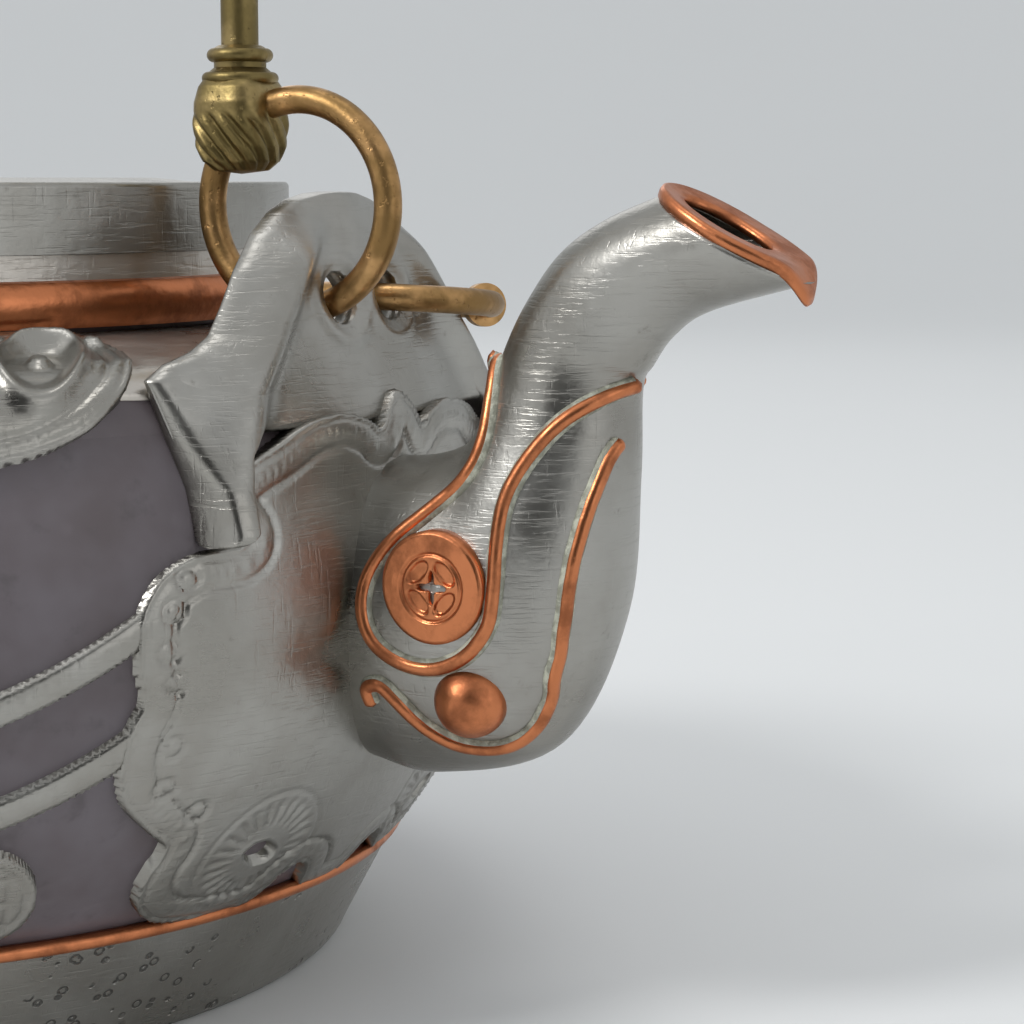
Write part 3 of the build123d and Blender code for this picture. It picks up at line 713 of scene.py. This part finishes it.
class TEAPOT_OT_sheets(bpy.types.Operator):
    """Lobed pewter sheets on the front, back and sides of the belly"""
    bl_idname = "teapot.sheets"
    bl_label = "Sheets"

    def execute(self, context):
        front, side = self.outline(FRONT_SHEET), self.outline(SIDE_SHEET)
        low = run_at(12.5)
        for name, turn in (("front_panel", 0), ("rear_panel", 180)):
            lift_of = partial(self.front_lift, front, context.scene.teapot_sizes)
            relief(name + "_sheet", 42.0, (low, run_at(76.0)), lift_of, turn, (name,))
        for name, turn in (("left_side_panel", 90), ("right_side_panel", -90)):
            lift_of = partial(self.side_lift, side, context.scene.teapot_sizes)
            relief(name + "_sheet", 24.5, (low, run_at(72.5)), lift_of, turn, (name,))
        return {"FINISHED"}

    def front_lift(self, ring, sizes, u, v):
        """Lobed sheet with punches, engraved fans, pierced ovals and a top that rides over the lug."""
        distance, along = fence(u, v, ring)
        lift = sheet_lift(distance, along, sizes.sheet, sizes.border)
        lift -= punches(u, v, FRONT_PUNCHES) + punches(u, v, [(0.9, 63.2)], 0.9)
        lift -= rays(u, v, *OVAL_PLACE, 3.6, 7.6) + 0.16 * bell(self.spot(u, v, *OVAL_PLACE), 8.2, 0.25)
        over_lug = ease(v, run_at(63.5), run_at(72.0)) * ease(-np.abs(u), -29.0, -25.5)
        lift = np.where(distance < 0.1, lift + 2.3 * over_lug, lift)
        return self.pierced(lift, u, v, *OVAL_PLACE)

    def side_lift(self, ring, sizes, u, v):
        """Smaller lobed sheet with punches and one engraved rose."""
        distance, along = fence(u, v, ring)
        lift = sheet_lift(distance, along, sizes.sheet, sizes.border * 0.8)
        rose = 0.22 * bell(self.spot(u, v, *ROSE_PLACE), 8.6, 0.3) + rays(u, v, *ROSE_PLACE, 3.0, 8.0) / 2
        return lift - punches(u, v, SIDE_PUNCHES) - rose

    def outline(self, half):
        return rounded([(u, float(run_at(z))) for u, z in both_sides(half)])

    def spot(self, u, v, x, z):
        return np.hypot(np.abs(u) - x, v - run_at(z))

    def pierced(self, lift, u, v, x, z):
        """Pointed oval holes through the sheet with a turned edge."""
        du = np.abs(u) - x
        dv = v - run_at(z) - 0.25 * du
        gap = np.hypot(du / 2.7, dv / 1.55) - 1 + 0.08 * np.abs(du)
        lift = np.where(gap < 0.6, lift + 0.15 * bell(gap, 0.25, 0.15), lift)
        return BURIED + (lift - BURIED) * ease(gap, -0.12, 0.12)


class TEAPOT_OT_straps(bpy.types.Operator):
    """Pairs of curved straps between the sheets"""
    bl_idname = "teapot.straps"
    bl_label = "Straps"

    def execute(self, context):
        lift_of = partial(self.strap_lift, context.scene.teapot_sizes.sheet - 0.15)
        for name, turn in SWAG_TURNS.items():
            relief(name + "_straps", 38.0, (run_at(26.5), run_at(57.0)), lift_of, turn, (name + "_swag",))
        return {"FINISHED"}

    def strap_lift(self, sheet, u, v):
        """Two parabolic bands, each with a groove beside either edge and beads along its middle."""
        lift = np.full(u.shape, BURIED)
        for edge_z, dip_z in STRAP_HEIGHTS:
            middle = run_at(dip_z) + (run_at(edge_z) - run_at(dip_z)) * (u / STRAP_SPAN) ** 2
            across = (v - middle) / np.sqrt(1 + (2 * STRAP_RISE * u / STRAP_SPAN ** 2) ** 2)
            band = BURIED + (sheet - BURIED) * ease(STRAP_HALF - np.abs(across), -0.2, 0.3)
            band -= 0.2 * bell(np.abs(across), 1.15, 0.16) * (np.abs(across) < 1.6)
            beads = np.maximum(np.cos(2 * pi * u / 1.2), 0) * bell(across, 0, 0.45)
            lift = np.maximum(lift, band + 0.16 * beads)
        return lift


class TEAPOT_OT_medallions(bpy.types.Operator):
    """Round medallions with a plain square fret inside a ring"""
    bl_idname = "teapot.medallions"
    bl_label = "Medallions"

    def execute(self, context):
        lift_of = partial(self.disc_lift, context.scene.teapot_sizes.sheet + 0.3)
        span = (run_at(15.0), run_at(31.5))
        for name, turn in MEDALLION_TURNS.items():
            relief(name + "_roundel", 8.2, span, lift_of, turn, (name + "_medallion",))
        return {"FINISHED"}

    def disc_lift(self, sheet, u, v):
        """Disc with two engraved rings round two squares that four short lines join."""
        du, dv = np.abs(u), np.abs(v - run_at(MEDALLION_Z))
        gap = np.hypot(du, dv)
        box = np.maximum(du, dv)
        fret = np.maximum(bell(box, 3.4, 0.28), bell(box, 1.7, 0.28))
        fret = np.maximum(fret, bell(np.minimum(du, dv), 0, 0.26) * (box > 1.7) * (box < 3.4))
        lift = BURIED + (sheet - BURIED) * ease(MEDALLION_RADIUS - gap, -0.2, 0.35)
        return lift - 0.3 * fret - 0.3 * bell(gap, 5.3, 0.25) - 0.2 * bell(gap, 6.0, 0.16)


class TEAPOT_OT_masks(bpy.types.Operator):
    """Winged shoulder masks with sunk eyes and a raised beak"""
    bl_idname = "teapot.masks"
    bl_label = "Masks"

    def execute(self, context):
        sheet = context.scene.teapot_sizes.sheet + 0.2
        lift_of = partial(self.face_lift, rounded(both_sides(MASK_SHEET)), sheet)
        for name, turn in MASK_TURNS.items():
            relief(name + "_face", 26.0, (14.0, 48.5), lift_of, turn, (name + "_mask",))
        return {"FINISHED"}

    def face_lift(self, ring, sheet, u, v):
        """Lobed sheet with rimmed eye hollows, a raised beak down the middle, brows and a ribbed top."""
        distance, along = fence(u, v, ring)
        side = np.abs(u)
        eye_side, eye_run = EYE_PLACE
        lift = sheet_lift(distance, along, sheet, 2.8)
        eye = np.hypot((side - eye_side) / 4.6, (v - eye_run - 0.4 * (side - eye_side)) / 6.4)
        ball = np.hypot((side - eye_side) / 1.6, (v - eye_run) / 2.2)
        inside = ease(-distance, 0.2, 1.6)
        lift += inside * (1.0 * bell(eye, 1.12, 0.16) - 0.8 * ease(-eye, -1.0, -0.7))
        lift += inside * 1.0 * ease(-ball, -1.2, -0.4)
        beak = bell(u, 0, 3.4 - 1.6 * ease(v, 30, 44)) * ease(v, 17.5, 23.0) * ease(-v, -45, -38)
        brow = bell(v - 39.0 + 0.012 * (side - 9) ** 2, 0, 1.4) * ease(side, 3.0, 6.0)
        lift += (2.3 * beak + 0.9 * brow) * inside
        return lift - inside * 0.12 * np.maximum(np.cos(2 * pi * side / 1.6), 0) * ease(v, 41, 43)


class TEAPOT_OT_lugs(bpy.types.Operator):
    """Leaning lug plates with two ridges, a hollow between them and two ring holes"""
    bl_idname = "teapot.lugs"
    bl_label = "Lugs"

    def execute(self, context):
        thickness = context.scene.teapot_sizes.lug
        for name, turn in (("front_lug", 0), ("rear_lug", 180)):
            crown = LUG_TOP - 5.4 * (1 - np.cos(np.linspace(0, pi / 2, 24)))
            heights = np.concatenate([crown, np.linspace(91.7, LUG_BOTTOM, 66)])
            wide = read_at(heights, LUG_WIDTH)
            plate = self.plate(name + "_horn", heights, -wide, wide, thickness, turn, (name,))
            self.drill(plate, turn)
            heights = np.linspace(LEG_TOP, LEG_FOOT, 70)
            inner = read_at(heights, LEG_INSIDE)
            outer = read_at(heights, LUG_WIDTH) - 0.05
            blend = thickness + 0.3 - 1.0 * ease(heights, 73.5, 78.5)[:, None]
            self.plate(name + "_left_leg", heights, inner, outer, blend, turn)
            self.plate(name + "_right_leg", heights, -outer, -inner, blend, turn)
        return {"FINISHED"}

    def plate(self, name, heights, left, right, thickness, turn, replaces=()):
        """Front and back faces between a left and a right edge, row by row, with rounded edges."""
        share = np.sin(np.linspace(-pi / 2, pi / 2, LUG_COLUMNS))
        u = (left + right)[:, None] / 2 + (right - left)[:, None] / 2 * share
        v = np.repeat(heights[:, None], LUG_COLUMNS, 1)
        down = np.linspace(1, -1, len(heights))[:, None]
        edge = np.sqrt(np.clip(1 - share ** 12, 0, 1)) * np.sqrt(np.clip(1 - down ** 24, 0, 1))
        radius = read_at(v, LUG_FACE)
        side = np.abs(u)
        ridge = 2.7 * bell(side, read_at(v, LUG_RIDGE), 3.7) * ease(-v, -96.5, -90)
        ridge += 0.8 * bell(side, 0, 5.0) * ease(v, 86, 94) - 0.5 * bell(side, 0, 9) * bell(v, 78, 5)
        for hole in (-HOLE_Y, HOLE_Y):
            gap = np.hypot(u - hole, v - HOLE_Z)
            ridge += 0.35 * bell(gap, 4.6, 1.0) - 0.4 * bell(gap, 2.6, 1.2)
        front = self.bend(u, v, radius + (ridge + thickness / 2) * edge, turn)
        back = self.bend(u, v, radius - thickness / 2 * edge, turn)
        return slab(name, front, back, replaces)

    def bend(self, u, v, radius, turn):
        """Places sideways and height on a cylinder-like face, turned about the pot."""
        side = 1 if turn == 0 else -1
        return np.stack([side * np.sqrt(radius ** 2 - u ** 2), side * u, v], -1)

    def drill(self, piece, turn):
        """Cuts both ring holes with straight rods."""
        side = 1 if turn == 0 else -1
        angle = np.linspace(0, 2 * pi, 48, endpoint=False)
        near, far = 66.0, 92.0
        for y in (-HOLE_Y, HOLE_Y):
            ends = []
            for x, size in ((near, 0.0), (near, HOLE_RADIUS), (far, HOLE_RADIUS), (far, 0.0)):
                across, up = size * np.cos(angle), size * np.sin(angle)
                ends.append(np.stack([np.full(len(angle), side * x), y + across, HOLE_Z + up], -1))
            rod = grid_object("hole_cutter", np.stack(ends), (False, True))
            cut = piece.modifiers.new("hole", "BOOLEAN")
            cut.object, cut.operation, cut.solver = rod, "DIFFERENCE", "EXACT"
            graph = bpy.context.evaluated_depsgraph_get()
            mesh = bpy.data.meshes.new_from_object(piece.evaluated_get(graph))
            piece.modifiers.clear()
            piece.data = mesh
            bpy.data.objects.remove(rod)


class TEAPOT_OT_skirt(bpy.types.Operator):
    """Pale sheet washer on the clay under the copper neck strap"""
    bl_idname = "teapot.skirt"
    bl_label = "Neck skirt"

    def execute(self, context):
        around = np.linspace(-180, 180, 240, endpoint=False)
        rows = []
        last = float(run_at(SKIRT_EDGE_Z))
        first = last + SKIRT_RUN
        top = [(run, SKIRT_LIFT) for run in np.linspace(first, last + 0.8, 30)]
        for run, lift in [(first, BURIED)] + top + [(last, 0.25), (last, BURIED), (last + 6, BURIED - 1)]:
            ragged = 0.5 * np.sin(np.radians(around * 7)) * bell(run, last, 1)
            rows.append(np.stack([on_clay(0.0, run + r, lift, a) for r, a in zip(ragged, around)]))
        put("neck_skirt", np.stack(rows), "pot", "bright_pewter", closed=(True, True))
        return {"FINISHED"}


class TEAPOT_OT_fists(bpy.types.Operator):
    """Faceted brass fists with slanted finger grooves at the bail's ends"""
    bl_idname = "teapot.fists"
    bl_label = "Fists"

    def execute(self, context):
        heights = np.concatenate([np.linspace(99.4, 100.6, 10), np.linspace(100.8, 112.2, 60)])
        half = read_at(heights, FIST_WIDTH)[:, None]
        angle = np.linspace(0, 2 * pi, 180, endpoint=False)
        power = FIST_BLUNTNESS
        blunt = (np.abs(np.cos(angle)) ** power + np.abs(np.sin(angle)) ** power) ** (-1 / power)
        slant = np.sin(2 * pi * (5.0 * angle * 0.75 + heights[:, None] * 0.66) / 1.96)
        grooves = 0.5 * np.clip(slant, -0.2, 1) * ease(-heights, -106.6, -105.2)[:, None]
        reach = half * blunt - grooves * np.clip(half / 4, 0, 1)
        for name, side in (("front_fist", 1), ("rear_fist", -1)):
            x = side * (FIST_X + reach * np.cos(angle) * 0.92)
            y = -HOLE_Y + reach * np.sin(angle)
            points = np.stack([x, y, np.repeat(heights[:, None], len(angle), 1)], -1)
            put(name + "_block", points, "handle", "brass", (name,), closed=(False, True))
        return {"FINISHED"}


class TEAPOT_OT_spout(bpy.types.Operator):
    """Hollow beaked spout with its copper lip"""
    bl_idname = "teapot.spout"
    bl_label = "Spout"

    def execute(self, context):
        outer = spout_surface(12, 96)
        inner = spout_surface(12, 96, -SPOUT_WALL)
        walls = np.concatenate([outer, inner[::-1]])
        put("spout_skin", walls, "pot", "pewter", ("spout_shell",), (True, True))
        self.lip()
        return {"FINISHED"}

    def lip(self):
        """Ring-shaped plate: rows go from the hole over the top to the rim and back below; the tip droops."""
        back, front = SPOUT[-1, 0:2], SPOUT[-1, 2:4]
        middle, along = (back + front) / 2, (front - back) / np.linalg.norm(front - back)
        normal = np.array([-along[1], along[0]])
        angle = np.linspace(0, 2 * pi, 96, endpoint=False)
        beak = 0.7 * bell(np.minimum(angle, 2 * pi - angle), 0, 0.4)
        taper = 1 - 0.06 * np.cos(angle)
        rim = np.stack([(LIP_RIM[0] + beak) * np.cos(angle), LIP_RIM[1] * np.sin(angle) * taper], 1)
        hole = np.stack([LIP_HOLE_SHIFT + LIP_HOLE[0] * np.cos(angle), LIP_HOLE[1] * np.sin(angle)], 1)
        rows = []
        for share, lift in LIP_SECTION:
            flat = hole * (1 - share) + rim * share
            droop = 0.16 * np.clip(flat[:, 0] - 6.5, 0, None) ** 2
            level = lift - droop + 0.2 * np.abs(np.cos(angle)) * share
            x = middle[0] + along[0] * flat[:, 0] + normal[0] * level
            z = middle[1] + along[1] * flat[:, 0] + normal[1] * level
            rows.append(np.stack([x, flat[:, 1], z], -1))
        put("spout_lip_plate", np.stack(rows), "pot", "copper", ("spout_lip",), (True, True))


class TEAPOT_OT_trim(bpy.types.Operator):
    """Copper wires, pierced coins and their pale solder on the spout"""
    bl_idname = "teapot.trim"
    bl_label = "Copper trim"

    def execute(self, context):
        radius = context.scene.teapot_sizes.wire
        for line, node in ((LOOP_WIRE, "loop_wire"), (THROAT_WIRE, "throat_wire")):
            for side, back in (("right_", 0.0), ("left_", FAR_WIRE_BACK)):
                path, out = spout_side(smooth_path(line) - np.array([back, 0.0]))
                wire = tube(path + out * radius * 0.3, out, radius)
                solder = tube(path - out * 0.25, out, radius * 1.35)
                if side == "right_":
                    wire, solder = flip_y(wire), flip_y(solder)
                put(side + node + "_round", wire, "pot", "copper", (side + node,), (False, True))
                seam = put(side + node + "_seam", solder, "pot", "pewter", closed=(False, True))
                seam.data.materials[0] = finish_for("solder")
        coin = self.coin()
        put("left_coin", coin, "pot", "copper", ("left_eye_coin",), (True, True))
        put("right_coin", flip_y(coin), "pot", "copper", ("right_eye_coin",), (True, True))
        return {"FINISHED"}

    def coin(self):
        """Disc with a ring groove, four sunk petals and a star hole, from which the rows go outwards."""
        x, z, radius = COIN
        seat = spout_side(np.array([[x, z]] * 3))[0][1, 1]
        angle = np.linspace(0, 2 * pi, 160, endpoint=False)
        star = 0.7 + 1.25 * np.abs(np.cos(2 * angle)) ** 3
        share = np.linspace(0, 1, 40)[:, None]
        reach = star * (1 - share) + radius * share
        du, dv = reach * np.cos(angle), reach * np.sin(angle)
        petal = np.zeros(reach.shape)
        for quarter in range(4):
            turn = pi / 4 + quarter * pi / 2
            a = du * np.cos(turn) + dv * np.sin(turn) - 2.35
            b = -du * np.sin(turn) + dv * np.cos(turn)
            petal = np.maximum(petal, ease(-np.hypot(a / 0.85, b / 1.6), -1.1, -0.85))
        edge = ease(reach, radius - 0.5, radius) ** 2
        face = 0.9 - 0.3 * bell(reach, 3.75, 0.16) - 0.5 * petal - 0.3 * edge
        top = np.stack([x + du, seat + face, z + dv], -1)
        base = top[[-1, 0]].copy()
        base[..., 1] = seat - 2.2
        return np.concatenate([top, base])


class TEAPOT_PT_panel(bpy.types.Panel):
    """Lists the teapot's steps in the sidebar"""
    bl_label = "Teapot"
    bl_idname = "TEAPOT_PT_panel"
    bl_space_type = "VIEW_3D"
    bl_region_type = "UI"
    bl_category = "Teapot"

    def draw(self, context):
        for operator in OPERATORS:
            self.layout.operator(operator.bl_idname)


OPERATORS = (
    TEAPOT_OT_stage, TEAPOT_OT_finishes, TEAPOT_OT_sheets, TEAPOT_OT_straps, TEAPOT_OT_medallions,
    TEAPOT_OT_masks, TEAPOT_OT_lugs, TEAPOT_OT_skirt, TEAPOT_OT_fists, TEAPOT_OT_spout, TEAPOT_OT_trim)
CLASSES = (TeapotSizes, TeapotColours) + OPERATORS + (TEAPOT_PT_panel,)


def register():
    for kind in CLASSES:
        bpy.utils.register_class(kind)
    bpy.types.Scene.teapot_sizes = PointerProperty(type=TeapotSizes)
    bpy.types.Scene.teapot_colours = PointerProperty(type=TeapotColours)


def unregister():
    del bpy.types.Scene.teapot_colours
    del bpy.types.Scene.teapot_sizes
    for kind in reversed(CLASSES):
        bpy.utils.unregister_class(kind)


def main():
    register()
    bpy.ops.teapot.stage()
    bpy.ops.teapot.finishes()
    bpy.ops.teapot.sheets()
    bpy.ops.teapot.straps()
    bpy.ops.teapot.medallions()
    bpy.ops.teapot.masks()
    bpy.ops.teapot.lugs()
    bpy.ops.teapot.skirt()
    bpy.ops.teapot.fists()
    bpy.ops.teapot.spout()
    bpy.ops.teapot.trim()


if __name__ == "__main__":
    main()
